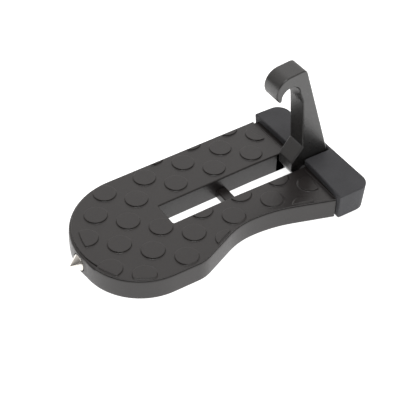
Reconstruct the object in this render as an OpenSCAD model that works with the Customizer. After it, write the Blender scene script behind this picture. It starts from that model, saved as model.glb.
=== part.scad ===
// Folding hook-on foot step for a vehicle's door latch.
// The pedal lies flat on z = 0 with its nose towards -Y and its bumper towards +Y.
// The hook arm stands up from the bumper end and folds forward into the slot.

/* [Pedal] */
// Height of the deck above the ground plane
deck_z = 13; // [11:0.5:16]
// Height of the raised deck layer above the rounded shoulder
deck_step = 0.8; // [0.4:0.1:1.5]
// Thickness of the cast top wall under the deck
top_wall = 3; // [2.5:0.5:4]
// Thickness of the cast side walls
side_wall = 2.8; // [2:0.2:4]
// Radius of the round nose, measured on the deck edge
nose_r = 40.4; // [38:0.2:42]
// Distance from the origin to the middle of the round nose
nose_y = 36.7; // [34:0.1:40]
// X of the middle of the round nose
nose_x = -0.2; // [-2:0.1:2]
// Slope of the left side, which runs outwards to the bumper, in mm per mm
left_slope = 0.029; // [0:0.001:0.05]
// How far the skirt stands proud of the deck edge at the nose and the left side
shoulder = 1.5; // [0.5:0.1:2.5]
// How far the skirt stands proud of the deck edge on the toe and the hollow right side
waist_shoulder = 0.4; // [0.2:0.1:1]
// X of the narrowest place of the right side
waist_x = 26.1; // [24:0.1:29]
// Y of the narrowest place of the right side
waist_y = 14.5; // [10:0.5:20]
// Radius of the hollow side in front of the waist
waist_front_r = 43; // [40:0.2:44]
// Radius of the hollow side behind the waist
waist_rear_r = 82.6; // [75:0.2:90]
// Slope of the straight flank that runs on to the bumper, in mm per mm
flank_slope = 0.32; // [0.25:0.01:0.4]
// X of the small step in the deck edge, where the tighter right side of the nose begins
jog_x = 14.4; // [12:0.1:18]
// Radius of the nose to the right of that step
toe_r = 33.6; // [32:0.1:35]
// Radius of the corner between the toe and the hollow side
corner_r = 20; // [17:0.5:22]
// Y where the full outline ends and the narrower tail begins
shank_end_y = 62.2; // [60:0.1:64]

/* [Tread bosses] */
// Half the spacing of the staggered bosses across the pedal
boss_step_x = 13; // [12:0.1:14]
// Half the spacing of the staggered bosses along the pedal
boss_step_y = 12.7; // [12:0.1:14]
// X of the boss column nearest the right edge of the slot
boss_x = 6.3; // [5:0.1:8]
// Y of the first full boss behind the nose
boss_y = -57.2; // [-59:0.1:-55]
// Radius of one boss
boss_r = 6.7; // [5.5:0.1:7.5]
// Height of a boss above the deck
boss_h = 0.8; // [0.4:0.1:1.2]

/* [Slot] */
// X of the middle of the slot and of the hook arm
slot_x = -2.5; // [-4:0.1:0]
// Width of the slot beside the arm
slot_w = 16.6; // [15:0.2:19]
// X of the left wall at the front end of the slot
slot_front_left_x = -9; // [-11:0.1:-9]
// X of the right wall at the front end of the slot
slot_front_right_x = 6.9; // [5:0.1:7]
// Y of the front end of the slot
slot_front_y = -24.4; // [-30:0.2:-18]
// Y of the rear wall of the slot, behind the hinge
slot_rear_y = 72.6; // [72.4:0.1:73]
// Y of the front face of the crossbar
crossbar_y = 14.5; // [8:0.5:20]
// Length of the crossbar along the slot
crossbar_l = 6.5; // [5:0.5:9]
// Height of the crossbar, where the folded arm comes to rest
crossbar_h = 5.2; // [4:0.1:5.3]

/* [Hook arm] */
// Width of the arm
arm_w = 12.6; // [10:0.2:14]
// Radius of the round knuckle at the hinge
knuckle_r = 6; // [5:0.1:6.2]
// Radius of the round seat inside the hook
seat_r = 6.1; // [5:0.1:7]
// Y of the middle of the seat
seat_y = 51.3; // [49:0.1:54]
// Height of the middle of the seat
seat_z = 65.6; // [60:0.1:70]
// Outer radius of the hook's beak
beak_r = 9.1; // [8.5:0.1:10]
// Y of the middle of the beak's outer curve
beak_y = 50.8; // [49:0.1:53]
// Height of the middle of the beak's outer curve
beak_z = 70; // [68:0.1:72]

/* [Hinge] */
// Y of the hinge axis
hinge_y = 66; // [65:0.1:66.5]
// Height of the hinge axis
hinge_z = 7; // [6.8:0.1:7.2]
// Radius of the hinge pin
pin_r = 2.5; // [2:0.1:3]
// Radial clearance of the arm on its pin
pin_play = 0.05; // [0.02:0.01:0.1]
// Radius of the friction washers beside the arm
washer_r = 5.6; // [4.5:0.1:5.8]
// Thickness of one friction washer
washer_t = 1.8; // [1:0.1:1.9]

/* [Bumper] */
// Width of the rubber bumper
bumper_w = 86.2; // [82:0.2:88]
// X of the middle of the bumper
bumper_x = -2.1; // [-4:0.1:1]
// Y of the bumper's rear face, which leans on the vehicle
bumper_rear_y = 84.4; // [82:0.2:88]
// Y of the bumper's front edge where it stands furthest back
bumper_front_y = 65.2; // [63:0.1:66]
// Height of the bumper's underside above the ground plane
bumper_low_z = 0.4; // [0.2:0.1:1]
// Height of the bumper's top
bumper_top_z = 17; // [15:0.1:19]
// Radius of the bumper's rear corners
bumper_corner_r = 8; // [5:0.5:12]
// Width of the notch that the arm stands in
notch_w = 13.2; // [13:0.1:16]
// Distance of the bumper screws from the bumper's middle
screw_offset = 27; // [22:0.5:30]
// Y of the bumper screws
screw_y = 72; // [70:0.5:75]

/* [Hammer tip] */
// X of the hammer tip
tip_x = 0.3; // [-3:0.1:3]
// Height of the hammer tip's axis
tip_z = 5.7; // [5:0.1:7]
// Largest radius of the hammer tip
tip_r = 4.7; // [4:0.1:5]
// How far the point stands out of the nose
tip_reach = 5.4; // [4:0.1:8]
// Radius of the threaded stud behind the tip
stud_r = 2.5; // [2:0.1:3]

/* [Hidden] */
$fn = 96;
middle_shift = [2.1, -0.2];   // from the drawing's origin to the middle of the bounding box
eps = 0.01;          // overshoot of a cut past the face that it opens
far = 200;           // longer than anything in the model

// Outline of the pedal: the right side of the nose is a toe circle and a corner circle
// with their common tangent, another common tangent joins the corner circle to the waist
// circle, and the flank leans by flank_a.
nose_p = [nose_x, -nose_y];
toe_p = [6, -44];
corner_p = [19.6, -29];
skirt_toe_x = 6.5;    // the skirt follows the toe circle from here
waist_front_c = [waist_x + waist_front_r, waist_y];
waist_rear_c = [waist_x + waist_rear_r, waist_y];
flank_a = atan(flank_slope);
graze = 0.02;        // straight sides cut this deep into the circles that they join
flank_l = 60;        // length of the straight flank, clipped where the outline ends
left_a = atan(left_slope);

// Slot: its front end leans with the left side of the pedal
slot_left_bend_y = 40;
slot_right_bend_y = 14.5;

// Bosses
rim = 0.9;           // width of the plain rim outside the bosses
boss_slot_gap = 1;   // bosses stop this far from the slot
boss_cut_r = 36.9;   // the boss beside the hammer tip is cut along this radius
boss_top_z = deck_z + boss_h;
shoulder_z = deck_z - deck_step;

// Cast underside
rib_t = 2;
rib_pitch = 14.5;
rib_low_z = 1;
pocket_top_z = deck_z - deck_step - top_wall + 0.8;
pocket_end_y = 57;
lug_t = 4;
tail_left_x = -42.2;
tail_right_x = 37.2;
tail_low_z = 4.4;
tail_rear_y = 82.4;
tail_corner_r = 6;
bridge_low_z = 1;
bridge_top_z = 9.9;  // the arm's heel stands on the bridge when the hook is up
bore_end_x = -20;    // blind end of the cross-drilled hole for the pin
bore_play = 0.02;

// Bumper
bumper_wall_play = 0.05;
bumper_front_r = 600;   // the front edge is slightly hollow
bumper_front_x = -20;   // X where the front edge stands furthest back
lug_notch_play = 0.4;
recess_r = 4.6;
recess_z = 3;
screw_r = 1.5;
screw_top_z = 10;
screw_head_r = 3;
screw_head_h = 1.8;
screw_washer_r = 4.3;
screw_washer_t = 0.6;
screw_hole_play = 0.2;

// Hammer tip
tip_seat_y = -76.6;     // floor of the counterbore in the nose
counterbore_r = tip_r + 0.5;
nose_pad_w = 16;
nose_pad_y = -71.2;
nut_af = 8;
nut_t = 4;
stud_end_y = nose_pad_y + nut_t + 1.2;

// Hook arm, as (y, z) points and lines of its side view
hinge_p = [hinge_y, hinge_z];
seat_p = [seat_y, seat_z];
beak_p = [beak_y, beak_z];
heel_y = 82.1;
heel_z = 10.2;
back_low = [heel_y, 14.3];
back_a = 18.1;       // the back edge leans forward by this angle
brow_a = 6.8;        // the top edge falls towards the beak by this angle
back_corner_r = 3.5;
beak_tip = [43.7, 64.3];
beak_inner = [45.2, 64.4];
face_top = [60, 58.9];
knee = [63.2, 26.3];
foot_top = [56.1, 17.2];
foot_low = [56.1, 10.9];
foot_under = [57.2, 9.6];
inset = 0.6;         // how far hidden polygon corners lie inside a round they join

// Point on a circle of radius r around c, at angle a
function around(c, r, a) = c + r * [cos(a), sin(a)];

// Outline of the pedal from the nose to end_y, grown by left_grow on the nose and the
// left side and by right_grow on the toe and the hollow right side. The toe circle is
// used from toe_x on.
module outline(left_grow, right_grow, end_y, toe_x = jog_x) {
    rn = nose_r + left_grow;
    rt = toe_r + right_grow;
    rc = corner_r + right_grow;
    rf = waist_front_r - right_grow;
    rr = waist_rear_r - right_grow;
    c = corner_p - toe_p;
    ca = atan2(c[1], c[0]) - acos((rt - rc) / norm(c));
    d = waist_front_c - corner_p;
    a = atan2(d[1], d[0]) - acos((rc + rf - 2 * graze) / norm(d));
    flank = waist_rear_c + rr * [-cos(flank_a), sin(flank_a)];
    left = around(nose_p, rn - graze, 180 + left_a);
    difference() {
        union() {
            intersection() {
                translate(nose_p) circle(rn);
                translate([-far, -far]) square([far + jog_x, 2 * far]);
            }
            intersection() {
                translate(toe_p) circle(rt);
                translate([toe_x - eps, -far]) square([far, 2 * far]);
            }
            translate(corner_p) circle(rc);
            intersection() {
                polygon([left, nose_p, toe_p,
                         around(toe_p, rt - graze, ca), around(corner_p, rc - graze, ca),
                         around(corner_p, rc - graze, a),
                         around(waist_front_c, rf - graze, a + 180),
                         [waist_x + right_grow, waist_y],
                         flank,
                         flank + flank_l * [sin(flank_a), cos(flank_a)],
                         left + 3 * flank_l * [-sin(left_a), cos(left_a)]]);
                translate([-far / 2, -far]) square([far, far + end_y]);
            }
        }
        intersection() {
            translate(waist_front_c) circle(rf);
            translate([0, -far / 2]) square([far, far / 2 + waist_y]);
        }
        intersection() {
            translate(waist_rear_c) circle(rr);
            translate([0, waist_y]) square([far, far / 2]);
        }
    }
}

// Slot as seen from above, grown by g
module slot_plan(g) {
    left = slot_x - slot_w / 2 - g;
    right = slot_x + slot_w / 2 + g;
    front = slot_front_y - g;
    rear = slot_rear_y + g;
    polygon([[slot_front_left_x - g, front], [slot_front_right_x + g, front],
             [right, slot_right_bend_y], [right, rear], [left, rear], [left, slot_left_bend_y]]);
}

// True for each boss of the staggered pattern that is large enough to be kept
function boss_kept(m, n) =
    (m + n) % 2 == 0
    && !(m == -1 && n > 2)
    && !(m == -3 && n < 0)
    && !(m == -4 && n < 3)
    && !(m == 2 && n == 6);

module bosses() {
    intersection() {
        translate([0, 0, deck_z - eps]) linear_extrude(boss_h + eps)
            difference() {
                outline(-rim, -rim, bumper_front_y + 1);
                slot_plan(boss_slot_gap);
                bumper_plan();
            }
        for (n = [-1 : 10]) for (m = [-4 : 2])
            if (boss_kept(m, n)) intersection() {
                translate([boss_x + m * boss_step_x, boss_y + n * boss_step_y, shoulder_z])
                    cylinder(r = boss_r, h = boss_top_z - shoulder_z);
                if (m == -1 && n == -1)
                    translate([nose_p[0], nose_p[1], 0]) cylinder(r = boss_cut_r, h = far);
                else
                    translate([-far, -far, 0]) cube(2 * far);
            }
    }
}

// Cast ribs under the deck: cross ribs at an even pitch and three long ribs
module ribs() {
    for (y = [slot_front_y - 2 * rib_pitch : rib_pitch : pocket_end_y])
        translate([-far / 2, y - rib_t / 2, rib_low_z]) cube([far, rib_t, pocket_top_z]);
    for (x = [slot_x - 25, slot_x + 22])
        translate([x - rib_t / 2, -far / 2, rib_low_z]) cube([rib_t, far, pocket_top_z]);
    for (side = [-1, 1])
        translate([tip_x + side * nose_pad_w / 2 - rib_t / 2, -far / 2, rib_low_z])
            cube([rib_t, far / 2 + slot_front_y, pocket_top_z]);
}

module pocket() {
    difference() {
        translate([0, 0, -eps]) linear_extrude(pocket_top_z + eps)
            difference() {
                outline(shoulder - side_wall, waist_shoulder - side_wall, pocket_end_y, skirt_toe_x);
                slot_plan(side_wall);
                translate([tip_x - nose_pad_w / 2, -far / 2]) square([nose_pad_w, far / 2 + nose_pad_y]);
            }
        ribs();
    }
}

module tail_plan() {
    w = tail_right_x - tail_left_x;
    translate([tail_left_x, shank_end_y - 1]) square([w, tail_rear_y - tail_corner_r - shank_end_y + 1]);
    translate([tail_left_x + tail_corner_r, shank_end_y])
        square([w - 2 * tail_corner_r, tail_rear_y - shank_end_y]);
    for (x = [tail_left_x + tail_corner_r, tail_right_x - tail_corner_r])
        translate([x, tail_rear_y - tail_corner_r]) circle(tail_corner_r);
}

module pedal_casting() {
    lug_l = slot_x - slot_w / 2 - lug_t;
    lug_w = slot_w + 2 * lug_t;
    color([0.29, 0.28, 0.27]) difference() {
        union() {
            difference() {
                linear_extrude(shoulder_z) outline(shoulder, waist_shoulder, shank_end_y, skirt_toe_x);
                pocket();
            }
            translate([0, 0, shoulder_z - eps]) linear_extrude(deck_step + eps)
                outline(0, 0, shank_end_y);
            translate([0, 0, tail_low_z]) linear_extrude(deck_z - tail_low_z) tail_plan();
            translate([lug_l, pocket_end_y - 1, 0]) cube([lug_w, slot_rear_y + 4 - pocket_end_y, deck_z]);
            translate([lug_l, slot_rear_y - 1, bridge_low_z])
                cube([lug_w, tail_rear_y - slot_rear_y + 1, bridge_top_z - bridge_low_z]);
            bosses();
        }
        // slot, open from top to bottom, and the crossbar left standing in it
        difference() {
            translate([0, 0, -1]) linear_extrude(far) slot_plan(0);
            translate([slot_x - slot_w, crossbar_y, -1]) cube([2 * slot_w, crossbar_l, crossbar_h + 1]);
        }
        // open floor beneath z = 0 for the crossbar block
        translate([slot_x - slot_w, crossbar_y - 1, -2]) cube([2 * slot_w, crossbar_l + 2, 2]);
        // seat of the arm's heel on the bridge
        translate([slot_x - notch_w / 2, slot_rear_y - 1, bridge_top_z])
            cube([notch_w, tail_rear_y - slot_rear_y + 2, far]);
        // cross-drilled hole for the hinge pin, open to the right under the bumper
        translate([bore_end_x, hinge_y, hinge_z]) rotate([0, 90, 0])
            cylinder(r = pin_r + bore_play, h = far);
        // seat and hole of the hammer tip
        translate([tip_x, tip_seat_y, tip_z]) rotate([90, 0, 0]) cylinder(r = counterbore_r, h = 10);
        translate([tip_x, nose_pad_y + 1, tip_z]) rotate([90, 0, 0])
            cylinder(r = stud_r + bore_play, h = 10);
        // bumper screw holes
        for (side = [-1, 1])
            translate([bumper_x + side * screw_offset, screw_y, tail_low_z - eps])
                cylinder(r = screw_r, h = screw_top_z + 0.5 - tail_low_z);
    }
}

// Point where the lines n1 * p = k1 and n2 * p = k2 cross
function crossing(n1, k1, n2, k2) =
    let (det = n1[0] * n2[1] - n1[1] * n2[0])
    [(k1 * n2[1] - k2 * n1[1]) / det, (n1[0] * k2 - n2[0] * k1) / det];

// Slab of the arm's width, cut to a side view drawn in (y, z)
module arm_slab() {
    translate([slot_x - arm_w / 2, 0, 0]) rotate([90, 0, 90]) linear_extrude(arm_w) children();
}

// Cylinder across the arm, centred on a (y, z) point
module cross_cylinder(p, r, w) {
    translate([slot_x - w / 2, p[0], p[1]]) rotate([0, 90, 0]) cylinder(r = r, h = w);
}

// Arm: a tapered shank, a round beak and a round knuckle. The top edge touches the
// beak's curve, and a round corner joins it to the back edge.
module hook_arm() {
    top_n = [-sin(brow_a), cos(brow_a)];
    back_n = [cos(back_a), sin(back_a)];
    brow = beak_p + beak_r * top_n;
    corner = crossing(top_n, top_n * brow - back_corner_r, back_n, back_n * back_low - back_corner_r);
    color([0.3, 0.29, 0.28]) difference() {
        union() {
            arm_slab() polygon([foot_under, foot_low, foot_top, knee, face_top,
                                around(seat_p, seat_r - inset, 0), seat_p, beak_p, brow,
                                corner + back_corner_r * top_n, corner + back_corner_r * back_n,
                                back_low, [heel_y, heel_z], [hinge_y + knuckle_r - 2, heel_z],
                                hinge_p, around(hinge_p, knuckle_r - inset, 215)]);
            intersection() {
                cross_cylinder(beak_p, beak_r, arm_w);
                arm_slab() polygon([beak_p + [0.5, -1], beak_p + [0.5, 2 * beak_r],
                                    beak_p + beak_r * [-2, 2], beak_p - beak_r * [2, 1],
                                    beak_tip, beak_inner, [seat_y, beak_inner[1]]]);
            }
            cross_cylinder(hinge_p, knuckle_r, arm_w);
            cross_cylinder(corner, back_corner_r, arm_w);
        }
        cross_cylinder(seat_p, seat_r, 2 * arm_w);
        cross_cylinder(hinge_p, pin_r + pin_play, 2 * arm_w);
    }
}

module hinge_pin() {
    color([0.6, 0.6, 0.61])
        translate([bore_end_x + 0.2, hinge_y, hinge_z]) rotate([0, 90, 0])
            cylinder(r = pin_r, h = tail_right_x - bore_end_x - 0.3);
}

module friction_washers() {
    gap = (slot_w - arm_w) / 2;
    color([0.5, 0.5, 0.5])
        for (x = [slot_x - slot_w / 2 + (gap - washer_t) / 2, slot_x + arm_w / 2 + (gap - washer_t) / 2])
            translate([x, hinge_y, hinge_z]) rotate([0, 90, 0]) difference() {
                cylinder(r = washer_r, h = washer_t);
                translate([0, 0, -1]) cylinder(r = pin_r + pin_play, h = washer_t + 2);
            }
}

// Bumper as seen from above: round rear corners and a slightly hollow front edge
module bumper_plan() {
    left = bumper_x - bumper_w / 2;
    front = shank_end_y;
    round_y = bumper_rear_y - bumper_corner_r;
    difference() {
        union() {
            translate([left, front]) square([bumper_w, round_y - front]);
            translate([left + bumper_corner_r, front])
                square([bumper_w - 2 * bumper_corner_r, bumper_rear_y - front]);
            for (x = [left + bumper_corner_r, left + bumper_w - bumper_corner_r])
                translate([x, round_y]) circle(bumper_corner_r);
        }
        translate([bumper_front_x, bumper_front_y - bumper_front_r]) circle(bumper_front_r, $fn = 720);
    }
}

module bumper_cap() {
    lug_w = slot_w + 2 * lug_t + 2 * lug_notch_play;
    color([0.31, 0.31, 0.33]) difference() {
        translate([0, 0, bumper_low_z]) linear_extrude(bumper_top_z - bumper_low_z) bumper_plan();
        // pocket for the tail of the casting
        translate([0, 0, tail_low_z - bumper_wall_play])
            linear_extrude(deck_z - tail_low_z + 2 * bumper_wall_play) union() {
                tail_plan();
                translate([tail_left_x, shank_end_y - 2])
                    square([tail_right_x - tail_left_x, tail_rear_y - tail_corner_r - shank_end_y + 2]);
            }
        // notch for the arm, open to the front
        translate([slot_x - notch_w / 2, shank_end_y - 5, deck_z - 1])
            cube([notch_w, tail_rear_y - shank_end_y + 5, far]);
        // room for the hinge lugs and the bridge
        translate([slot_x - lug_w / 2, shank_end_y - 5, -1])
            cube([lug_w, tail_rear_y - shank_end_y + 5, tail_low_z + 1]);
        for (side = [-1, 1]) translate([bumper_x + side * screw_offset, screw_y, -1]) {
            cylinder(r = recess_r, h = recess_z + 1);
            cylinder(r = screw_r + screw_hole_play, h = tail_low_z + 2);
        }
    }
}

module bumper_screws() {
    color([0.55, 0.55, 0.56])
        for (side = [-1, 1])
            translate([bumper_x + side * screw_offset, screw_y, recess_z - screw_washer_t])
                difference() {
                    union() {
                        cylinder(r = screw_r, h = screw_top_z - recess_z + screw_washer_t);
                        translate([0, 0, -screw_head_h]) cylinder(r = screw_head_r, h = screw_head_h);
                    }
                    for (a = [0, 90]) rotate(a)
                        translate([-2, -0.4, -screw_head_h - 1]) cube([4, 0.8, 2]);
                }
}

module bumper_screw_washers() {
    color([0.6, 0.6, 0.6])
        for (side = [-1, 1])
            translate([bumper_x + side * screw_offset, screw_y, recess_z - screw_washer_t])
                difference() {
                    cylinder(r = screw_washer_r, h = screw_washer_t);
                    translate([0, 0, -1]) cylinder(r = screw_r + screw_hole_play, h = screw_washer_t + 2);
                }
}

module hammer_tip() {
    collar = nose_y + nose_r + shoulder + tip_seat_y;
    color([0.8, 0.79, 0.76])
        translate([tip_x, tip_seat_y, tip_z]) rotate([90, 0, 0]) {
            cylinder(r = tip_r, h = collar);
            translate([0, 0, collar]) cylinder(r1 = tip_r, r2 = 0.3, h = tip_reach);
            translate([0, 0, tip_seat_y - stud_end_y]) cylinder(r = stud_r, h = stud_end_y - tip_seat_y + eps);
        }
}

module tip_lock_nut() {
    color([0.7, 0.7, 0.7])
        translate([tip_x, nose_pad_y, tip_z]) rotate([-90, 0, 0]) difference() {
            cylinder(r = nut_af / 2 / cos(30), h = nut_t, $fn = 6);
            translate([0, 0, -1]) cylinder(r = stud_r, h = nut_t + 2);
        }
}

// Moves the middle of the bounding box to the origin
module centred() { translate([middle_shift[0], middle_shift[1], 0]) children(); }

centred() pedal_casting();
centred() hook_arm();
centred() hinge_pin();
centred() friction_washers();
centred() bumper_cap();
centred() bumper_screws();
centred() bumper_screw_washers();
centred() hammer_tip();
centred() tip_lock_nut();
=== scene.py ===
"""Looks of a folding door latch step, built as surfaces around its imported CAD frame."""

import math

import bmesh
import bpy
import numpy as np
from bpy.props import FloatProperty, FloatVectorProperty, PointerProperty
from mathutils import Matrix, Vector


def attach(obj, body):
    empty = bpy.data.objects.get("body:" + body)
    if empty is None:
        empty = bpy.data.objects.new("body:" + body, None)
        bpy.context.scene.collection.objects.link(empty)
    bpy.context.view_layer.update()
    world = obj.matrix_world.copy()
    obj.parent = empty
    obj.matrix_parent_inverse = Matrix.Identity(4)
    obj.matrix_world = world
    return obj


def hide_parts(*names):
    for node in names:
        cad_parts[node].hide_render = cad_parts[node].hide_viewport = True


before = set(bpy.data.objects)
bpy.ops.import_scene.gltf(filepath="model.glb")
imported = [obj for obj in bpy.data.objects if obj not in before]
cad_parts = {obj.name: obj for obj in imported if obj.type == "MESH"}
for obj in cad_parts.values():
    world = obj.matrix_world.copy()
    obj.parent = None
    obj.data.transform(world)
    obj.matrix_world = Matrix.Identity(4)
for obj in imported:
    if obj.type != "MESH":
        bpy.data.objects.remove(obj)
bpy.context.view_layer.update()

bl_info = {
    "name": "Door latch step",
    "version": (1, 0, 0),
    "blender": (4, 5, 0),
    "location": "3D View > Sidebar > Latch step",
    "description": "Builds the visible surfaces, finishes and stage of a folding door latch step",
    "category": "Object",
}

MM = 0.001
TURN = 2 * math.pi
FAR = 99.0

# Sizes in millimetres, in the drawing's own frame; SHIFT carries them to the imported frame
SHIFT = np.array([2.1, -0.2, 0.0])
NOSE = np.array([-0.2, -36.7])
NOSE_R = 40.4
LEFT_SLOPE = 0.029
TOE = np.array([6.0, -44.0])
TOE_R = 33.6
JOG_X = 14.4
CORNER = np.array([19.6, -29.0])
CORNER_R = 20.0
WAIST = np.array([26.1, 14.5])
WAIST_FRONT_R = 43.0
WAIST_REAR_R = 82.6
FLANK_A = math.atan(0.32)
SHOULDER = 1.5
WAIST_SHOULDER = 0.4
SHANK_END_Y = 62.2
DECK_Z = 13.0
SHOULDER_Z = 12.2
SIDE_WALL = 2.8
POCKET_TOP_Z = 10.0
POCKET_END_Y = 57.0
SLOT_X = (-10.8, 5.8)
SLOT_FRONT_X = (-9.0, 6.9)
SLOT_BEND_Y = (40.0, 14.5)
SLOT_FRONT_Y = -24.4
SLOT_REAR_Y = 72.6
SLOT_CORNER_R = 0.9
CROSSBAR = ((-12.5, 7.5), (14.5, 21.0), (0.0, 5.2))
LUG_T = 4.0
TAIL = ((-42.2, 37.2), (62.2, 82.4), (4.4, 13.0))
BRIDGE_Z = (1.0, 9.9)
RIB_T = 2.0
RIB_Z = (1.0, 10.6)
RIB_PITCH = 14.5
LONG_RIB_X = (-27.5, 19.5)
PAD_W = 16.0
PAD_END_Y = -71.2
BOSS_ORIGIN = np.array([6.3, -57.2])
BOSS_STEP = np.array([13.0, 12.7])
BOSS_R = 6.7
BOSS_TOP_Z = 13.8
BOSS_RIM = 0.9
BOSS_SLOT_GAP = 1.0
TIP_BOSS_CUT_R = 36.9
ARM_X = (-8.8, 3.8)
HINGE = np.array([66.0, 7.0])
KNUCKLE_R = 6.0
PIN_R = 2.5
SEAT = np.array([51.3, 65.6])
SEAT_R = 6.1
BEAK = np.array([50.8, 70.0])
BEAK_R = 9.1
BEAK_END = np.array([[43.7, 64.3], [45.2, 64.4]])
BROW_A = math.radians(6.8)
BACK_A = math.radians(18.1)
BACK_CORNER_R = 3.5
BACK_LOW = np.array([82.1, 14.3])
HEEL_Z = 10.2
ARM_FRONT = np.array([[60.0, 58.9], [63.2, 26.3], [56.1, 17.2], [56.1, 10.9], [57.2, 9.6]])
BUMPER_X = (-45.2, 41.0)
BUMPER_MID_X = -20.0
BUMPER_FRONT_Y = 65.2
BUMPER_FRONT_R = 600.0
BUMPER_REAR_Y = 84.4
BUMPER_CORNER_R = 8.0
BUMPER_Z = (0.4, 17.0)
NOTCH_X = (-9.1, 4.1)
NOTCH_REAR_Y = 82.4
SCREW_XY = ((-29.1, 72.0), (24.9, 72.0))
RECESS_R = 4.6
RECESS_Z = 3.0
TIP = np.array([0.3, 5.7])
TIP_R = 4.7
TIP_SEAT_Y = -76.6
COUNTERBORE_R = 5.2
COLLAR_END_Y = -78.6
TIP_END_Y = -84.0
STUD_R = 2.5
STUD_END_Y = -66.0
NUT_AF = 8.0
NUT_T = 4.0


# ---------------------------------------------------------------- curves


def arc(centre, radius, start, end, count):
    """Points of a circle from angle start to angle end, in radians, both ends included."""
    a = np.linspace(start, end, count)
    return np.asarray(centre) + radius * np.stack([np.cos(a), np.sin(a)], -1)


def quarter(count):
    """Sine and cosine of evenly spaced angles from 0 to a right angle."""
    a = np.linspace(0, math.pi / 2, count)
    return np.sin(a), np.cos(a)


def reach_to(centre, radius, origin, angle):
    """Distance from origin along each angle to the far side of a circle."""
    w = np.asarray(centre) - origin
    along = w[0] * np.cos(angle) + w[1] * np.sin(angle)
    return along + np.sqrt(np.maximum(along**2 - w @ w + radius**2, 0))


def pedal_outline(left_grow, right_grow):
    """Side of the pedal from its rear left corner round the nose to its rear right corner.

    A leaning left side, a circle round the nose, a small step to the tighter toe circle,
    the common tangent of toe and corner circle, the common tangent of the corner and the
    front waist circle, both hollow waist circles and a leaning flank. On the skirt, where
    left_grow is SHOULDER, the nose swells out to the toe circle and the step is gone.
    Every growth gives the same number of points, so that rows of points match."""
    rn, rt, rc = NOSE_R + left_grow, TOE_R + right_grow, CORNER_R + right_grow
    rf, rr = WAIST_FRONT_R - right_grow, WAIST_REAR_R - right_grow
    front_c = WAIST + [WAIST_FRONT_R, 0]
    rear_c = WAIST + [WAIST_REAR_R, 0]
    left_a = math.atan(LEFT_SLOPE)
    c, d = CORNER - TOE, front_c - CORNER
    ca = math.atan2(c[1], c[0]) - math.acos((rt - rc) / np.hypot(*c))
    a = math.atan2(d[1], d[0]) - math.acos((rc + rf) / np.hypot(*d))
    end_ys = np.array([SHANK_END_Y, POCKET_END_Y, POCKET_END_Y - 0.2])
    touch = NOSE - rn * np.array([math.cos(left_a), math.sin(left_a)])
    left_y = np.concatenate([end_ys, np.linspace(POCKET_END_Y - 1, touch[1], 60)])[:-1]
    left = np.stack([touch[0] - (left_y - touch[1]) * LEFT_SLOPE, left_y], -1)
    jog = -math.acos((JOG_X - NOSE[0]) / NOSE_R)
    turn = np.linspace(math.pi + left_a, TURN + jog, 130)
    swell = np.clip(left_grow / SHOULDER, 0, 1) * np.clip((turn - 1.3 * math.pi) * 9, 0, 1)
    r = rn + swell * np.maximum(reach_to(TOE, rt, NOSE, turn) - rn, 0)
    nose = NOSE + r[:, None] * np.stack([np.cos(turn), np.sin(turn)], -1)
    start = NOSE + reach_to(TOE, rt, NOSE, jog) * np.array([math.cos(jog), math.sin(jog)]) - TOE
    toe = arc(TOE, rt, math.atan2(start[1], start[0]), ca, 50)
    step = nose[-1] + np.array([0.34, 0.67])[:, None] * (toe[0] - nose[-1])
    corner = arc(CORNER, rc, ca, a, 16)
    straight = toe[-1] + np.linspace(0, 1, 8)[1:-1, None] * (corner[0] - toe[-1])
    front = arc(front_c, rf, a + math.pi, math.pi, 24)
    tangent = corner[-1] + np.linspace(0, 1, 12)[1:-1, None] * (front[0] - corner[-1])
    rear = arc(rear_c, rr, math.pi, math.pi - FLANK_A, 28)[1:]
    flank_y = np.concatenate([np.linspace(rear[-1, 1], POCKET_END_Y - 1, 14)[1:], end_ys[::-1]])
    flank_x = rear[-1, 0] + (flank_y - rear[-1, 1]) * math.tan(FLANK_A)
    return np.concatenate([left, nose, step, toe, straight, corner, tangent, front, rear,
                           np.stack([flank_x, flank_y], -1)])


def split_outline(o):
    """The outline's left part from the nose to the rear, and its part from the toe on."""
    low = int(np.argmin(o[:, 1]))
    toe = low + int(np.argmin(np.where(o[low:, 0] > JOG_X + 0.1, o[low:, 1], np.inf)))
    return o[: low + 1][::-1], o[toe:]


def slot_walls(y):
    """X of the slot's left and right wall at each y."""
    left = np.interp(y, [SLOT_FRONT_Y, SLOT_BEND_Y[0]], [SLOT_FRONT_X[0], SLOT_X[0]])
    right = np.interp(y, [SLOT_FRONT_Y, SLOT_BEND_Y[1]], [SLOT_FRONT_X[1], SLOT_X[1]])
    return left, right


def slot_outline(grow):
    """Side of the slot, point for point beside pedal_outline.

    Beside the slot each point has the Y of its partner on the pedal's side. In front of it
    the points run evenly round the two front corners and along the front wall."""
    y = pedal_outline(0, 0)[:, 1]
    low_y = SLOT_FRONT_Y + SLOT_CORNER_R
    i = np.arange(len(y))
    ahead = np.flatnonzero(y < low_y)
    first, last = ahead[0] - 1, ahead[-1] + 1
    f = np.clip((i - first) / (last - first), 0, 1)
    r = SLOT_CORNER_R
    turn = np.clip(f / 0.25, 0, 1) + np.clip((f - 0.75) / 0.25, 0, 1)
    angle = math.pi * (1 + turn / 2)
    slide = np.clip((f - 0.25) / 0.5, 0, 1)
    x0, x1 = slot_walls(np.maximum(y, low_y))
    cx = x0 + r + slide * (x1 - x0 - 2 * r)
    cy = np.where((f > 0) & (f < 1), low_y, y)
    cy = np.where(i <= first, np.maximum(y, low_y), cy)
    return np.stack([cx + (r + grow) * np.cos(angle), cy + (r + grow) * np.sin(angle)], -1)


def bumper_front(x):
    """Y of the bumper's slightly hollow front edge."""
    return BUMPER_FRONT_Y - BUMPER_FRONT_R + np.sqrt(BUMPER_FRONT_R**2 - (x - BUMPER_MID_X) ** 2)


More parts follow.
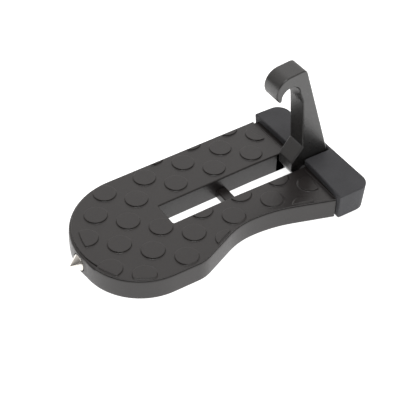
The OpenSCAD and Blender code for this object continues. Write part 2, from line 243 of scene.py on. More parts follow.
def soft_loops(points, step, blurs):
    """Closed line through the points, resampled evenly and blurred along its length.

    Each blur is a bell curve of that width in millimetres, carried round the loop as a
    product of Fourier spectra, so it rounds each corner and leaves long curves in place.
    Gives one loop for each blur."""
    p = np.vstack([points, points[:1]])
    s = np.concatenate([[0], np.cumsum(np.hypot(*np.diff(p, axis=0).T))])
    n = int(round(s[-1] / step))
    t = np.arange(n) * s[-1] / n
    loop = np.stack([np.interp(t, s, p[:, 0]), np.interp(t, s, p[:, 1])], -1)
    wave = np.fft.fftfreq(n, s[-1] / n)
    keep = np.exp(-2 * (math.pi * wave * np.asarray(blurs)[:, None]) ** 2)
    return np.real(np.fft.ifft(np.fft.fft(loop, axis=0) * keep[..., None], axis=1))


def inward(loop):
    """Unit normals of an anticlockwise closed line, towards its inside."""
    d = np.roll(loop, -1, -2) - np.roll(loop, 1, -2)
    d /= np.hypot(d[..., 0], d[..., 1])[..., None]
    return np.stack([-d[..., 1], d[..., 0]], -1)


# ---------------------------------------------------------------- surfaces
# A shell is a grid of points, rows x columns x 3, in millimetres. Its columns close on
# themselves and its first and last rows are capped.


def levelled(plan, z):
    """Plan points (..., 2) at height z, as points (..., 3)."""
    z = np.broadcast_to(z, plan.shape[:-1])
    return np.concatenate([plan, z[..., None]], -1)


def block(xs, ys, zs, r):
    """Box with round edges and corners.

    Each point of a sphere of radius r is pushed out along X, Y and Z, by its own signs, to
    the corner of a box that is smaller by r."""
    lo, hi = np.array([xs[0], ys[0], zs[0]]), np.array([xs[1], ys[1], zs[1]])
    half = (hi - lo) / 2 - r
    s, c = quarter(4)
    cx, cy = np.concatenate([c, -s, -c, s]), np.concatenate([s, c, -s, -c])
    sx, sy = np.repeat([1, -1, -1, 1], 4), np.repeat([1, 1, -1, -1], 4)
    lat_c, lat_s = np.concatenate([s, c]), np.concatenate([-c, s])
    sz = np.repeat([-1, 1], 4)
    unit = np.stack(np.broadcast_arrays(lat_c[:, None] * cx, lat_c[:, None] * cy, lat_s[:, None]), -1)
    sign = np.stack(np.broadcast_arrays(sx[None], sy[None], sz[:, None]), -1)
    return (lo + hi) / 2 + sign * half + r * unit


def lathe(profile, count, axis_xz):
    """Profile of (y, radius) rows turned round an axis along Y."""
    a = np.arange(count) * TURN / count
    y, r = np.asarray(profile, float).T
    x = axis_xz[0] + r[:, None] * np.cos(a)
    z = axis_xz[1] + r[:, None] * np.sin(a)
    return np.stack([x, np.broadcast_to(y[:, None], x.shape), z], -1)


def casting_sweep(shoulder_round, groove, slot_edge):
    """Closed cross section of the pedal carried along its side.

    The section goes up the skirt, over the round shoulder, through a groove under the rim
    of the deck, across the deck to the slot, down the slot's wall, and back under the deck
    round the pocket.
    Each row of the section is pedal_outline or slot_outline at one growth and height, or
    lies on the straight line between the two."""
    s, c = quarter(7)
    rows = []

    def side(left_grow, right_grow, z):
        rows.append(levelled(pedal_outline(left_grow, right_grow), z))

    def slot(grow, z):
        rows.append(levelled(slot_outline(grow), z))

    def across(a, b, count):
        w = np.linspace(0, 1, count)[1:-1]
        rows.extend(a + (b - a) * t for t in w)

    # skirt, slightly bulged, and shoulder
    for inset, z in ((0.6, 0.0), (0.18, 0.12), (0.0, 0.5)):
        side(SHOULDER - inset, WAIST_SHOULDER - inset, z)
    for z in (3.0, 6.0, 9.0):
        bulge = 0.22 * math.sin(math.pi * z / 12)
        side(SHOULDER + bulge, WAIST_SHOULDER + bulge * 0.4, z)
    for k in range(7):
        side(0.15 + (SHOULDER - 0.15) * c[k], 0.03 + (WAIST_SHOULDER - 0.03) * c[k],
             SHOULDER_Z - shoulder_round * (1 - s[k]))
    # groove and rim
    side(-groove, -groove, SHOULDER_Z)
    side(-groove, -groove, SHOULDER_Z + 0.22)
    side(-0.03, -0.03, SHOULDER_Z + 0.3)
    edge = 0.22
    for k in range(0, 7, 2):
        side(-edge * (1 - c[k]), -edge * (1 - c[k]), DECK_Z - edge * (1 - s[k]))
    # deck
    a, b = rows[-1], levelled(slot_outline(slot_edge), DECK_Z)
    across(a, b, 9)
    # slot edge and wall
    for k in range(7):
        slot(slot_edge * (1 - s[k]), DECK_Z - slot_edge * (1 - c[k]))
    for grow, z in ((0.0, 9.0), (0.0, 5.0), (0.0, 0.5), (0.15, 0.12), (0.5, 0.0)):
        slot(grow, z)
    # pocket: its height falls to nothing past the pocket's end
    y = pedal_outline(0, 0)[:, 1]
    depth = np.where(y > POCKET_END_Y - 0.1, 0.0, 1.0)
    slot(SIDE_WALL - 0.4, 0.0)
    slot(SIDE_WALL, 0.4 * depth)
    slot(SIDE_WALL, (POCKET_TOP_Z - 0.8) * depth)
    slot(SIDE_WALL + 0.25, (POCKET_TOP_Z - 0.25) * depth)
    slot(SIDE_WALL + 0.8, POCKET_TOP_Z * depth)
    inner_n, inner_w = SHOULDER - SIDE_WALL, -SIDE_WALL
    b = levelled(pedal_outline(inner_n - 0.8, inner_w - 0.8), POCKET_TOP_Z * depth)
    across(rows[-1], b, 8)
    rows.append(b)
    side(inner_n - 0.25, inner_w - 0.25, (POCKET_TOP_Z - 0.25) * depth)
    side(inner_n, inner_w, (POCKET_TOP_Z - 0.8) * depth)
    side(inner_n, inner_w, 0.4 * depth)
    side(inner_n + 0.4, inner_w + 0.4, 0.0)
    return np.stack(rows, 1)


def wall_middle():
    """Outline along the middle of the cast wall."""
    return pedal_outline(SHOULDER - SIDE_WALL / 2, WAIST_SHOULDER - SIDE_WALL / 2)


def casting_blocks():
    """Ribs, crossbar, tip pad, hinge lugs, tail and bridge, as blocks set into the walls."""
    wall = wall_middle()
    left, right = split_outline(wall)
    front = wall[wall[:, 1] < NOSE[1] - 10]
    pad_x = TIP[0] - PAD_W / 2, TIP[0] + PAD_W / 2
    made = []
    for y in np.arange(SLOT_FRONT_Y - 2 * RIB_PITCH, POCKET_END_Y - 2, RIB_PITCH):
        slot_in = slot_walls(y)[0] - SIDE_WALL / 2, slot_walls(y)[1] + SIDE_WALL / 2
        x0 = np.interp(y, left[:, 1], left[:, 0])
        x1 = np.interp(y, right[:, 1], right[:, 0])
        ends = [(x0, x1)] if y < SLOT_FRONT_Y - 1 else [(x0, slot_in[0]), (slot_in[1], x1)]
        made += [block(e, (y - RIB_T / 2, y + RIB_T / 2), RIB_Z, 0.5) for e in ends]
    for x in LONG_RIB_X + pad_x:
        y0 = np.interp(x, front[:, 0], front[:, 1])
        y1 = POCKET_END_Y + 1 if x in LONG_RIB_X else SLOT_FRONT_Y - 1
        made.append(block((x - RIB_T / 2, x + RIB_T / 2), (y0, y1), RIB_Z, 0.5))
    made.append(block(pad_x, (TIP_SEAT_Y + 0.5, PAD_END_Y), (0.3, 11), 0.5))
    made.append(block(*CROSSBAR, 0.8))
    made += [
        block((SLOT_X[0] - LUG_T, SLOT_X[0]), (POCKET_END_Y - 0.8, 76.6), (0, 12.8), 0.5),
        block((SLOT_X[1], SLOT_X[1] + LUG_T), (POCKET_END_Y - 0.8, 76.6), (0, 12.8), 0.5),
        block((TAIL[0][0], SLOT_X[0]), TAIL[1], TAIL[2], 0.6),
        block((SLOT_X[1], TAIL[0][1]), TAIL[1], TAIL[2], 0.6),
        block((SLOT_X[0] - LUG_T, SLOT_X[1] + LUG_T), (SLOT_REAR_Y, TAIL[1][1]), BRIDGE_Z, 0.5),
    ]
    return made


def boss_centres():
    """Centres of the staggered bosses that are large enough to be kept."""
    m, n = np.meshgrid(np.arange(-4, 3), np.arange(-1, 10))
    drop = (m == -1) & (n > 2)
    drop |= (m == -3) & (n < 0)
    drop |= (m == -4) & (n < 3)
    drop |= (m == 2) & (n == 6)
    keep = ((m + n) % 2 == 0) & ~drop
    return BOSS_ORIGIN + np.stack([m[keep], n[keep]], -1) * BOSS_STEP


def deck_room(p):
    """Signed distance, along X or Y, from points p to the nearest limit of the bosses."""
    left, right = split_outline(pedal_outline(-BOSS_RIM, -BOSS_RIM))
    x, y = p[..., 0], p[..., 1]
    x0 = np.interp(y, left[:, 1], left[:, 0], left=NOSE[0])
    x1 = np.interp(y, right[:, 1], right[:, 0])
    nose = np.where(x < JOG_X, NOSE_R - BOSS_RIM - np.hypot(x - NOSE[0], np.minimum(y - NOSE[1], 0)), FAR)
    nose = np.where(y < NOSE[1], nose, FAR)
    s0, s1 = slot_walls(y)
    gap = np.where(x < (s0 + s1) / 2, s0 - x, x - s1) - BOSS_SLOT_GAP
    clear = np.maximum(gap, SLOT_FRONT_Y - BOSS_SLOT_GAP - y)
    return np.minimum.reduce([x - x0, x1 - x, nose, bumper_front(x) - y, clear])


def boss_shells(rim, foot):
    """Low discs, cut off where they meet the slot, the bumper or the edge.

    Seen from above a boss is the part of a circle that lies inside deck_room. From a point
    within it, the reach along each of a fan of rays is found by halving, for all rays of
    all bosses at once. A hollow foot spreads onto the deck, the wall is steep, and the rim
    is a small quarter round."""
    c = boss_centres()[:, None]
    by_tip = np.hypot(*(c - BOSS_ORIGIN + BOSS_STEP)[:, 0].T) < 1
    cut = np.where(by_tip, TIP_BOSS_CUT_R, FAR)[:, None]

    def room(q):
        round_cut = cut - np.hypot(*np.moveaxis(q - NOSE, -1, 0))
        return np.minimum.reduce([deck_room(q), BOSS_R - np.hypot(*np.moveaxis(q - c, -1, 0)), round_cut])

    g = np.stack(np.meshgrid(np.linspace(-1, 1, 41), np.linspace(-1, 1, 41)), -1).reshape(-1, 2)
    p = c + g * BOSS_R
    inside = room(p) > 0
    hub = (p * inside[..., None]).sum(1) / inside.sum(1)[:, None]
    a = np.arange(80) * TURN / 80
    ray = np.stack([np.cos(a), np.sin(a)], -1)
    lo, hi = np.zeros((len(c), len(a))), np.full((len(c), len(a)), 2.0 * BOSS_R)
    for _ in range(18):
        mid = (lo + hi) / 2
        ok = room(hub[:, None] + mid[..., None] * ray) > 0
        lo, hi = np.where(ok, mid, lo), np.where(ok, hi, mid)
    s, cs = quarter(4)
    wall = 0.3
    take = np.concatenate([[-foot, -foot], (foot + wall) * s[1:] - foot, wall + 0.05 + rim * (1 - cs),
                           [wall + rim + 0.6]])
    low = DECK_Z + 0.32 * (1 - cs[1:])
    z = np.concatenate([[SHOULDER_Z - 0.1, DECK_Z], low, BOSS_TOP_Z - rim * (1 - s), [BOSS_TOP_Z + 0.01]])
    reach = np.maximum(lo[:, None] - take[:, None], 0.35 * lo[:, None])
    plan = hub[:, None, None] + reach[..., None] * ray
    return list(levelled(plan, z[None, :, None]))


def arm_side():
    """Side view of the hook arm as a closed anticlockwise line of (y, z) points."""
    top_n = np.array([-math.sin(BROW_A), math.cos(BROW_A)])
    back_n = np.array([math.cos(BACK_A), math.sin(BACK_A)])
    brow = BEAK + BEAK_R * top_n
    normals = np.array([top_n, back_n])
    levels = np.array([top_n @ brow, back_n @ BACK_LOW]) - BACK_CORNER_R
    corner = np.linalg.solve(normals, levels)
    up = math.pi / 2 + BROW_A
    heel_a = math.asin((HEEL_Z - HINGE[1]) / KNUCKLE_R)
    reach = BEAK_END[0] - BEAK
    return np.concatenate([
        arc(BEAK, BEAK_R, up, TURN + math.atan2(reach[1], reach[0]), 60),
        BEAK_END[1:],
        arc(SEAT, SEAT_R, math.pi, 0.0, 60),
        ARM_FRONT,
        arc(HINGE, KNUCKLE_R, math.radians(215), TURN + heel_a, 50),
        [[BACK_LOW[0], HEEL_Z], BACK_LOW],
        arc(corner, BACK_CORNER_R, BACK_A, up, 14),
    ])


def arm_shell(edge):
    """The arm's side view carried across its width, drawn in at both sides by a quarter round.

    The round shrinks towards the thin end of the beak, by distance from that end. Elsewhere
    the blur grows with the round, so that the drawn in corners never fold."""
    s, c = quarter(6)
    take = np.concatenate([1 - s, (1 - s)[::-1]]) * edge
    loops = soft_loops(arm_side(), 0.3, np.concatenate([[0.55], 0.55 + 1.3 * take]))
    near = np.hypot(*(loops[0] - BEAK_END.mean(0)).T)
    plain = np.clip((near - 2) / 4, 0, 1)[:, None]
    side = loops[0] + plain * (loops[1:] - loops[0])
    side = side + take[:, None, None] * np.clip(near / 4, 0.45, 1)[:, None] * inward(side)
    x = np.concatenate([ARM_X[0] + edge * (1 - c), (ARM_X[1] - edge * (1 - c))[::-1]])
    return np.concatenate([np.broadcast_to(x[:, None, None], side.shape[:2] + (1,)), side], -1)


def bumper_shell(edge, draft):
    """The bumper's plan carried up its height, with round edges and sides that lean out.

    The plan is a block with round rear corners, a slightly hollow front edge and a notch
    for the arm."""
    r = BUMPER_CORNER_R
    x0, x1 = BUMPER_X
    left = np.linspace(x0, NOTCH_X[0], 40)
    right = np.linspace(NOTCH_X[1], x1, 40)
    plan = np.concatenate([
        np.stack([left, bumper_front(left)], -1),
        [[NOTCH_X[0], NOTCH_REAR_Y], [NOTCH_X[1], NOTCH_REAR_Y]],
        np.stack([right, bumper_front(right)], -1),
        arc((x1 - r, BUMPER_REAR_Y - r), r, 0, math.pi / 2, 24),
        arc((x0 + r, BUMPER_REAR_Y - r), r, math.pi / 2, math.pi, 24),
    ])
    s, c = quarter(7)
    low = 0.6
    z = np.concatenate([BUMPER_Z[0] + low * (1 - c), [5.0, 9.0, 13.0], BUMPER_Z[1] - edge * (1 - s)])
    take = np.concatenate([low * (1 - s), [0, 0, 0], edge * (1 - c)])
    take = take + draft * (1 - z / BUMPER_Z[1])
    loops = soft_loops(plan, 0.4, 0.3 + 1.3 * take)
    return levelled(loops + take[:, None, None] * inward(loops), z[:, None])


def tip_shells():
    """Turned tip: stud, collar with small chamfers and a cone with a blunt point."""
    s, c = quarter(5)
    blunt = 0.35
    cone_y = TIP_END_Y + blunt * (1 - s)
    profile = [(STUD_END_Y, STUD_R - 0.4), (STUD_END_Y - 0.5, STUD_R), (TIP_SEAT_Y, STUD_R),
               (TIP_SEAT_Y, TIP_R - 0.3), (TIP_SEAT_Y - 0.3, TIP_R), (COLLAR_END_Y + 0.1, TIP_R)]
    t = np.linspace(0, 1, 9)[:, None]
    cone = np.array([COLLAR_END_Y - 0.1, TIP_R - 0.08]) * (1 - t) + np.array([cone_y[0], blunt]) * t
    point = np.stack([cone_y[1:], blunt * c[1:] + 0.02], -1)
    return [lathe(np.concatenate([profile, cone, point]), 64, TIP)]


def nut_shell():
    """Six-sided nut: each ring is a hexagon cut back to a circle that narrows at the faces."""
    a = np.arange(96) * TURN / 96
    hexagon = NUT_AF / 2 / np.cos(a % (math.pi / 3) - math.pi / 6)
    y = PAD_END_Y + np.array([0.0, 0.35, NUT_T - 0.35, NUT_T])
    limit = NUT_AF / 2 + np.array([0.0, 0.7, 0.7, 0.0])
    r = np.minimum(hexagon, limit[:, None])
    x = TIP[0] + r * np.cos(a)
    z = TIP[1] + r * np.sin(a)
    return np.stack([x, np.broadcast_to(y[:, None], x.shape), z], -1)


# ---------------------------------------------------------------- meshes


def shell_mesh(grid):
    """Merged closed mesh of one shell, in metres, with its faces outwards."""
    rows, cols = grid.shape[:2]
    i = np.arange(rows * cols).reshape(rows, cols)
    i = np.hstack([i, i[:, :1]])
    quads = np.stack([i[:-1, :-1], i[:-1, 1:], i[1:, 1:], i[1:, :-1]], -1).reshape(-1, 4)
    faces = quads.tolist() + [i[0, :-1][::-1].tolist(), i[-1, :-1].tolist()]
    mesh = bpy.data.meshes.new("shell")
    mesh.from_pydata(((grid.reshape(-1, 3) + SHIFT) * MM).tolist(), [], faces)
    bm = bmesh.new()
    bm.from_mesh(mesh)
    bmesh.ops.remove_doubles(bm, verts=bm.verts, dist=2e-6)
    bmesh.ops.dissolve_degenerate(bm, edges=bm.edges, dist=1e-6)
    bmesh.ops.recalc_face_normals(bm, faces=bm.faces)
    bm.to_mesh(mesh)
    bm.free()
    return mesh


def joined(shells):
    """One mesh of several shells."""
    bm = bmesh.new()
    for grid in shells:
        part = shell_mesh(grid)
        bm.from_mesh(part)
        bpy.data.meshes.remove(part)
    mesh = bpy.data.meshes.new("joined")
    bm.to_mesh(mesh)
    bm.free()
    return mesh


def carved(mesh, cutters):
    """The mesh with each cutter shell taken away from it."""
    for grid in cutters:
        body = bpy.data.objects.new("body", mesh)
        tool = bpy.data.objects.new("tool", shell_mesh(grid))
        for o in (body, tool):
            bpy.context.scene.collection.objects.link(o)
        cut = body.modifiers.new("Cut", "BOOLEAN")
        cut.operation, cut.solver, cut.object = "DIFFERENCE", "EXACT", tool
        graph = bpy.context.evaluated_depsgraph_get()
        made = bpy.data.meshes.new_from_object(body.evaluated_get(graph))
        bpy.data.objects.remove(body)
        bpy.data.objects.remove(tool)
        if not made.polygons:
            raise RuntimeError("a cut left nothing of the mesh")
        mesh = made
    return mesh


def place(name, mesh, material, body, nodes):
    """Puts a finished piece in the scene, on its body, in place of its CAD nodes."""
    mesh.name = name
    mesh.materials.clear()
    mesh.materials.append(material)
    mesh.polygons.foreach_set("use_smooth", np.ones(len(mesh.polygons), bool))
    mesh.set_sharp_from_angle(angle=math.radians(38))
    piece = bpy.data.objects.new(name, mesh)
    bpy.context.scene.collection.objects.link(piece)
    even = piece.modifiers.new("Even shading", "WEIGHTED_NORMAL")
    even.keep_sharp = True
    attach(piece, body)
    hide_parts(*nodes)
    return piece


# ---------------------------------------------------------------- finishes


def finish_material(name, dark, light, roughness, grain, relief, metallic=0.0, stretch=(1, 1, 1),
                    ior=1.5, mottle=60.0, speckle=0.0):
    """Procedural finish: mottled colour, grain that drives roughness, and a fine relief.

    dark and light are the ends of the colour, roughness its two ends, grain the pattern's
    cells per metre, relief its height in metres, and stretch its scale along each axis."""
    mat = bpy.data.materials.new(name)
    mat.use_nodes = True
    nodes, links = mat.node_tree.nodes, mat.node_tree.links
    shader = nodes["Principled BSDF"]
    shader.inputs["Metallic"].default_value = metallic
    shader.inputs["IOR"].default_value = ior
    coords = nodes.new("ShaderNodeTexCoord")
    mapping = nodes.new("ShaderNodeMapping")
    mapping.inputs["Scale"].default_value = stretch
    links.new(coords.outputs["Object"], mapping.inputs["Vector"])

    def noise(scale, detail):
        n = nodes.new("ShaderNodeTexNoise")
        n.inputs["Scale"].default_value = scale
        n.inputs["Detail"].default_value = detail
        links.new(mapping.outputs["Vector"], n.inputs["Vector"])
        return n.outputs["Fac"]

    def remap(source, low, high, start=0.3, end=0.7):
        r = nodes.new("ShaderNodeMapRange")
        r.inputs["From Min"].default_value, r.inputs["From Max"].default_value = start, end
        r.inputs["To Min"].default_value, r.inputs["To Max"].default_value = low, high
        links.new(source, r.inputs["Value"])
        return r.outputs["Result"]

    patches = noise(mottle, 4.0)
    fine = noise(grain, 5.0)
    blend = nodes.new("ShaderNodeMix")
    blend.data_type = "RGBA"
    blend.inputs["A"].default_value = (*dark, 1)
    blend.inputs["B"].default_value = (*light, 1)
    both = nodes.new("ShaderNodeMath")
    both.operation = "MULTIPLY_ADD"
    both.inputs[1].default_value = 0.35 + speckle
    links.new(fine, both.inputs[0])
    links.new(remap(patches, 0.0, 0.65), both.inputs[2])
    links.new(both.outputs["Value"], blend.inputs["Factor"])
    links.new(blend.outputs["Result"], shader.inputs["Base Color"])
    links.new(remap(fine, *roughness), shader.inputs["Roughness"])
    bump = nodes.new("ShaderNodeBump")
    bump.inputs["Strength"].default_value = 1.0
    bump.inputs["Distance"].default_value = relief
    links.new(fine, bump.inputs["Height"])
    links.new(bump.outputs["Normal"], shader.inputs["Normal"])
    return mat


def sky_world(name, strength, dark, towards):
    """Warm white surroundings, down to the share dark on the side away from a direction."""
    world = bpy.data.worlds.new(name)
    world.use_nodes = True
    nodes, links = world.node_tree.nodes, world.node_tree.links
    nodes["Background"].inputs["Color"].default_value = (1.0, 0.97, 0.955, 1)
    coords = nodes.new("ShaderNodeTexCoord")
    dot = nodes.new("ShaderNodeVectorMath")
    dot.operation = "DOT_PRODUCT"
    dot.inputs[1].default_value = Vector(towards).normalized()
    links.new(coords.outputs["Generated"], dot.inputs[0])
    fall = nodes.new("ShaderNodeMapRange")
    fall.interpolation_type = "SMOOTHSTEP"
    fall.inputs["From Min"].default_value, fall.inputs["From Max"].default_value = -0.35, 0.75
    fall.inputs["To Min"].default_value, fall.inputs["To Max"].default_value = dark, 1.0
    links.new(dot.outputs["Value"], fall.inputs["Value"])
    power = nodes.new("ShaderNodeMath")
    power.operation = "MULTIPLY"
    power.inputs[1].default_value = strength
    links.new(fall.outputs["Result"], power.inputs[0])
    links.new(power.outputs["Value"], nodes["Background"].inputs["Strength"])
    return world


def tones(colour, spread):
    """A darker and a lighter tone of one colour."""
    return tuple(c * (1 - spread) for c in colour), tuple(c * (1 + spread) for c in colour)


def coated_metal(name, colour, roughness, ior):
    """Satin black coat on a metal with the faint unevenness of its surface."""
    dark, light = tones(colour, 0.18)
    return finish_material(name, dark, light, (roughness - 0.05, roughness + 0.07), 900.0, 0.00003, ior=ior)


# ---------------------------------------------------------------- settings


class LatchStepShape(bpy.types.PropertyGroup):
    """Edge sizes of the visible surfaces."""

    shoulder_round: FloatProperty(
        name="Shoulder round", description="Height of the rounding at the top of the skirt",
        default=0.0014, min=0.0002, max=0.003, precision=5, unit="LENGTH")
    groove: FloatProperty(
        name="Groove", description="Depth of the groove under the rim of the deck",
        default=0.0004, min=0.0, max=0.0008, precision=5, unit="LENGTH")
    slot_edge: FloatProperty(
        name="Slot edge", description="Radius of the slot's top edge",
        default=0.0008, min=0.0001, max=0.0015, precision=5, unit="LENGTH")
    boss_rim: FloatProperty(
        name="Boss rim", description="Radius of the round rim of each tread boss",
        default=0.00015, min=0.00005, max=0.0003, precision=5, unit="LENGTH")
    boss_foot: FloatProperty(
        name="Boss foot", description="How far the hollow foot of a boss spreads onto the deck",
        default=0.0004, min=0.0, max=0.0006, precision=5, unit="LENGTH")
    arm_edge: FloatProperty(
        name="Arm edge", description="Radius of the long edges of the hook arm",
        default=0.0008, min=0.0001, max=0.0015, precision=5, unit="LENGTH")
    bumper_edge: FloatProperty(
        name="Bumper edge", description="Radius of the bumper's top edge",
        default=0.0009, min=0.0001, max=0.003, precision=5, unit="LENGTH")
    bumper_draft: FloatProperty(
        name="Bumper draft", description="How much further in the bumper's sides stand at its foot",
        default=0.0009, min=0.0, max=0.002, precision=5, unit="LENGTH")


class LatchStepFinish(bpy.types.PropertyGroup):
    """Colours and gloss of the materials."""

    cast_colour: FloatVectorProperty(
        name="Casting", description="Colour of the coated casting", subtype="COLOR",
        default=(0.0125, 0.0098, 0.0092), min=0, max=1)
    cast_roughness: FloatProperty(
        name="Casting roughness", description="Roughness of the coated casting",
        default=0.33, min=0.1, max=0.9, subtype="FACTOR")
    arm_colour: FloatVectorProperty(
        name="Arm", description="Colour of the coated hook arm", subtype="COLOR",
        default=(0.0100, 0.0096, 0.0090), min=0, max=1)
    arm_roughness: FloatProperty(
        name="Arm roughness", description="Roughness of the coated hook arm",
        default=0.32, min=0.1, max=0.9, subtype="FACTOR")
    rubber_colour: FloatVectorProperty(
        name="Rubber", description="Colour of the bumper", subtype="COLOR",
        default=(0.052, 0.053, 0.058), min=0, max=1)
    steel_colour: FloatVectorProperty(
        name="Steel", description="Colour of the plated steel", subtype="COLOR",
        default=(0.55, 0.54, 0.52), min=0, max=1)
    tip_colour: FloatVectorProperty(
        name="Tip", description="Colour of the bright tip", subtype="COLOR",
        default=(0.78, 0.75, 0.70), min=0, max=1)
    washer_colour: FloatVectorProperty(
        name="Washer", description="Colour of the plastic friction washers", subtype="COLOR",
        default=(0.05, 0.05, 0.05), min=0, max=1)


class LatchStepStage(bpy.types.PropertyGroup):
    """Camera, floor and light."""

    eye: FloatVectorProperty(
        name="Eye", description="Place of the camera", subtype="TRANSLATION",
        default=(0.37977, -0.25486, 0.42388))
    azimuth: FloatProperty(
        name="Azimuth", description="Camera's turn round the object, 0 looking along +Y",
        default=math.radians(55.76), subtype="ANGLE")
    elevation: FloatProperty(
        name="Elevation", description="Camera's angle above the horizon",
        default=math.radians(42.47), subtype="ANGLE")
    roll: FloatProperty(
        name="Roll", description="Turn of the camera about its own axis",
        default=math.radians(1.975), subtype="ANGLE")
    lens: FloatProperty(
        name="Lens", description="Focal length on a 36 mm sensor", default=96.56, min=20, max=300)
    floor_colour: FloatVectorProperty(
        name="Floor", description="Colour of the floor", subtype="COLOR",
        default=(0.8, 0.8, 0.8), min=0, max=1)
    floor_glow: FloatProperty(
        name="Floor glow", description="Strength of the light that the floor itself gives off",
        default=0.9, min=0, max=5)
    sky: FloatProperty(
        name="Surrounding light", description="Strength of the warm white surroundings",
        default=0.8, min=0, max=5)
    sky_dark: FloatProperty(
        name="Dark side", description="Share of the surrounding light on the camera's side",
        default=0.25, min=0, max=1, subtype="FACTOR")
    key: FloatProperty(
        name="Key light", description="Power of the large soft light", default=0.8, min=0,
        max=500, unit="POWER")
    top: FloatProperty(
        name="Top light", description="Power of the light overhead that edges the bosses",
        default=2.0, min=0, max=500, unit="POWER")


# ---------------------------------------------------------------- operators


def mm(value):
    """Metres of a setting as millimetres."""
    return value / MM


class LATCHSTEP_OT_casting(bpy.types.Operator):
    """Build the cast pedal with its skirt, deck, slot, ribs and tail"""

    bl_idname = "latch_step.casting"
    bl_label = "Casting"

    def execute(self, context):
        shape, look = context.scene.latch_shape, context.scene.latch_finish
        body = joined([casting_sweep(mm(shape.shoulder_round), mm(shape.groove), mm(shape.slot_edge))])
        bore = lathe([(-95, COUNTERBORE_R), (TIP_SEAT_Y, COUNTERBORE_R)], 64, TIP)
        body = carved(body, [bore])
        parts = joined(casting_blocks() + boss_shells(mm(shape.boss_rim), mm(shape.boss_foot)))
        bm = bmesh.new()
        bm.from_mesh(body)
        bm.from_mesh(parts)
        mesh = bpy.data.meshes.new("casting")
        bm.to_mesh(mesh)
        bm.free()
        material = coated_metal("cast_coat", look.cast_colour, look.cast_roughness, 1.6)
        place("casting", mesh, material, "pedal", ["pedal_casting"])
        return {"FINISHED"}


class LATCHSTEP_OT_arm(bpy.types.Operator):
    """Build the folding hook arm"""

    bl_idname = "latch_step.arm"
    bl_label = "Hook arm"

    def execute(self, context):
        shape, look = context.scene.latch_shape, context.scene.latch_finish
        hole = lathe([(ARM_X[0] - 5, PIN_R + 0.05), (ARM_X[1] + 5, PIN_R + 0.05)], 48, (0, 0))
        hole = np.stack([hole[..., 1], HINGE[0] + hole[..., 0], HINGE[1] + hole[..., 2]], -1)
        mesh = carved(joined([arm_shell(mm(shape.arm_edge))]), [hole])
        material = coated_metal("arm_coat", look.arm_colour, look.arm_roughness, 1.8)
        place("arm", mesh, material, "hook", ["hook_arm"])
        return {"FINISHED"}


class LATCHSTEP_OT_bumper(bpy.types.Operator):
    """Build the rubber bumper with its pocket, notch and screw recesses"""

    bl_idname = "latch_step.bumper"
    bl_label = "Bumper"

    def execute(self, context):
        shape, look = context.scene.latch_shape, context.scene.latch_finish
        mesh = joined([bumper_shell(mm(shape.bumper_edge), mm(shape.bumper_draft))])
        lug_x = (SLOT_X[0] - LUG_T - 0.4, SLOT_X[1] + LUG_T + 0.4)
        cutters = [
            block(TAIL[0], (55, TAIL[1][1]), (TAIL[2][0] - 0.05, TAIL[2][1] + 0.05), 0.5),
            block(lug_x, (55, NOTCH_REAR_Y), (-3, TAIL[2][0] + 1), 0.5),
        ]
        for x, y in SCREW_XY:
            r = lathe([(-3, RECESS_R), (RECESS_Z, RECESS_R)], 48, (0, 0))
            cutters.append(np.stack([x + r[..., 0], y - r[..., 2], r[..., 1]], -1))
        mesh = carved(mesh, cutters)
        dark, light = tones(look.rubber_colour, 0.22)
        material = finish_material("bumper_rubber", dark, light, (0.62, 0.8), 1400.0, 0.00004, speckle=0.2)
        place("bumper", mesh, material, "pedal", ["bumper_cap"])
        return {"FINISHED"}


class LATCHSTEP_OT_tip(bpy.types.Operator):
    """Build the turned hammer tip and its lock nut"""

    bl_idname = "latch_step.tip"
    bl_label = "Hammer tip"

    def execute(self, context):
        look = context.scene.latch_finish
        dark, light = tones(look.tip_colour, 0.08)
        bright = finish_material("tip_nickel", dark, light, (0.14, 0.26), 500.0, 0.000012,
                                 metallic=1.0, stretch=(1, 8, 1))
        place("tip", joined(tip_shells()), bright, "pedal", ["hammer_tip"])
        dark, light = tones(look.steel_colour, 0.15)
        zinc = finish_material("nut_zinc", dark, light, (0.3, 0.5), 700.0, 0.00002, metallic=1.0)
        place("nut", joined([nut_shell()]), zinc, "pedal", ["tip_lock_nut"])
        return {"FINISHED"}


class LATCHSTEP_OT_hardware(bpy.types.Operator):
    """Give the pin, washers and screws of the CAD frame their finishes"""

    bl_idname = "latch_step.hardware"
    bl_label = "Pin, washers and screws"

    def execute(self, context):
        look = context.scene.latch_finish
        dark, light = tones(look.steel_colour, 0.15)
        ground = finish_material("pin_ground", dark, light, (0.22, 0.36), 600.0, 0.00001,
                                 metallic=1.0, stretch=(0.1, 1, 1))
        zinc = finish_material("screw_zinc", dark, light, (0.32, 0.5), 700.0, 0.00002, metallic=1.0)
        dark, light = tones(look.washer_colour, 0.2)
        plastic = finish_material("washer_plastic", dark, light, (0.45, 0.6), 900.0, 0.00002)
        for node, material in (("hinge_pin", ground), ("bumper_screws", zinc),
                               ("bumper_screw_washers", zinc), ("friction_washers", plastic)):
            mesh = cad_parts[node].data
            mesh.materials.clear()
            mesh.materials.append(material)
        return {"FINISHED"}


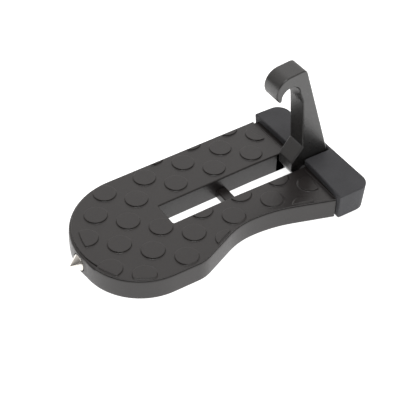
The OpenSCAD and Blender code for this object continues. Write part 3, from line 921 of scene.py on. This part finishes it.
class LATCHSTEP_OT_stage(bpy.types.Operator):
    """Make the camera, the floor and the soft studio light"""

    bl_idname = "latch_step.stage"
    bl_label = "Stage"

    def execute(self, context):
        scene, stage = context.scene, context.scene.latch_stage
        a, e, roll = stage.azimuth, stage.elevation, stage.roll
        back = Vector((math.sin(a) * math.cos(e), -math.cos(a) * math.cos(e), math.sin(e)))
        level = Vector((math.cos(a), math.sin(a), 0))
        right = level * math.cos(roll) + back.cross(level) * math.sin(roll)
        turn = Matrix((right, back.cross(right), back)).transposed()
        camera = bpy.data.objects.new("camera", bpy.data.cameras.new("camera"))
        camera.matrix_world = Matrix.Translation(stage.eye) @ turn.to_4x4()
        camera.data.lens, camera.data.sensor_width = stage.lens, 36
        camera.data.clip_start, camera.data.clip_end = 0.01, 20
        camera.data.dof.use_dof = False
        scene.collection.objects.link(camera)
        scene.camera = camera
        scene.view_settings.view_transform = "Standard"

        half = 3.0
        floor = bpy.data.meshes.new("floor")
        floor.from_pydata([(-half, -half, 0), (half, -half, 0), (half, half, 0), (-half, half, 0)],
                          [], [(0, 1, 2, 3)])
        colour = tuple(stage.floor_colour)
        paper = finish_material("floor_paper", tones(colour, 0.01)[0], colour, (0.8, 0.9), 300.0, 0.00001)
        shader = paper.node_tree.nodes["Principled BSDF"]
        shader.inputs["Emission Color"].default_value = (1, 1, 1, 1)
        shader.inputs["Emission Strength"].default_value = stage.floor_glow
        floor.materials.append(paper)
        ground = bpy.data.objects.new("floor", floor)
        scene.collection.objects.link(ground)

        scene.world = sky_world("studio", stage.sky, stage.sky_dark, (-0.55, 0.55, 0.63))

        middle = Vector((0, 0, 0.02))
        for name, place_at, size, power in (
            ("key", (-0.85, 0.5, 0.8), 0.9, stage.key),
            ("side", (1.0, 0.1, 0.3), 0.5, stage.key * 0.4),
            ("top", (0.2, -0.15, 0.9), 0.35, stage.top),
        ):
            data = bpy.data.lights.new(name, "AREA")
            data.size, data.energy = size, power
            light = bpy.data.objects.new(name, data)
            light.location = place_at
            aim = middle - Vector(place_at)
            light.rotation_euler = aim.to_track_quat("-Z", "Y").to_euler()
            scene.collection.objects.link(light)
        return {"FINISHED"}


OPERATORS = (LATCHSTEP_OT_stage, LATCHSTEP_OT_casting, LATCHSTEP_OT_arm, LATCHSTEP_OT_bumper,
             LATCHSTEP_OT_tip, LATCHSTEP_OT_hardware)


class LATCHSTEP_PT_panel(bpy.types.Panel):
    """Lists the settings and the operators"""

    bl_idname = "LATCHSTEP_PT_panel"
    bl_label = "Door latch step"
    bl_space_type = "VIEW_3D"
    bl_region_type = "UI"
    bl_category = "Latch step"

    def draw(self, context):
        for group in (context.scene.latch_shape, context.scene.latch_finish, context.scene.latch_stage):
            box = self.layout.box()
            for setting in group.__annotations__:
                box.prop(group, setting)
        for operator in OPERATORS:
            self.layout.operator(operator.bl_idname)


CLASSES = (LatchStepShape, LatchStepFinish, LatchStepStage, *OPERATORS, LATCHSTEP_PT_panel)


def register():
    for cls in CLASSES:
        bpy.utils.register_class(cls)
    bpy.types.Scene.latch_shape = PointerProperty(type=LatchStepShape)
    bpy.types.Scene.latch_finish = PointerProperty(type=LatchStepFinish)
    bpy.types.Scene.latch_stage = PointerProperty(type=LatchStepStage)


def unregister():
    del bpy.types.Scene.latch_shape
    del bpy.types.Scene.latch_finish
    del bpy.types.Scene.latch_stage
    for cls in reversed(CLASSES):
        bpy.utils.unregister_class(cls)


def main():
    register()
    bpy.ops.latch_step.stage()
    bpy.ops.latch_step.casting()
    bpy.ops.latch_step.arm()
    bpy.ops.latch_step.bumper()
    bpy.ops.latch_step.tip()
    bpy.ops.latch_step.hardware()


if __name__ == "__main__":
    main()
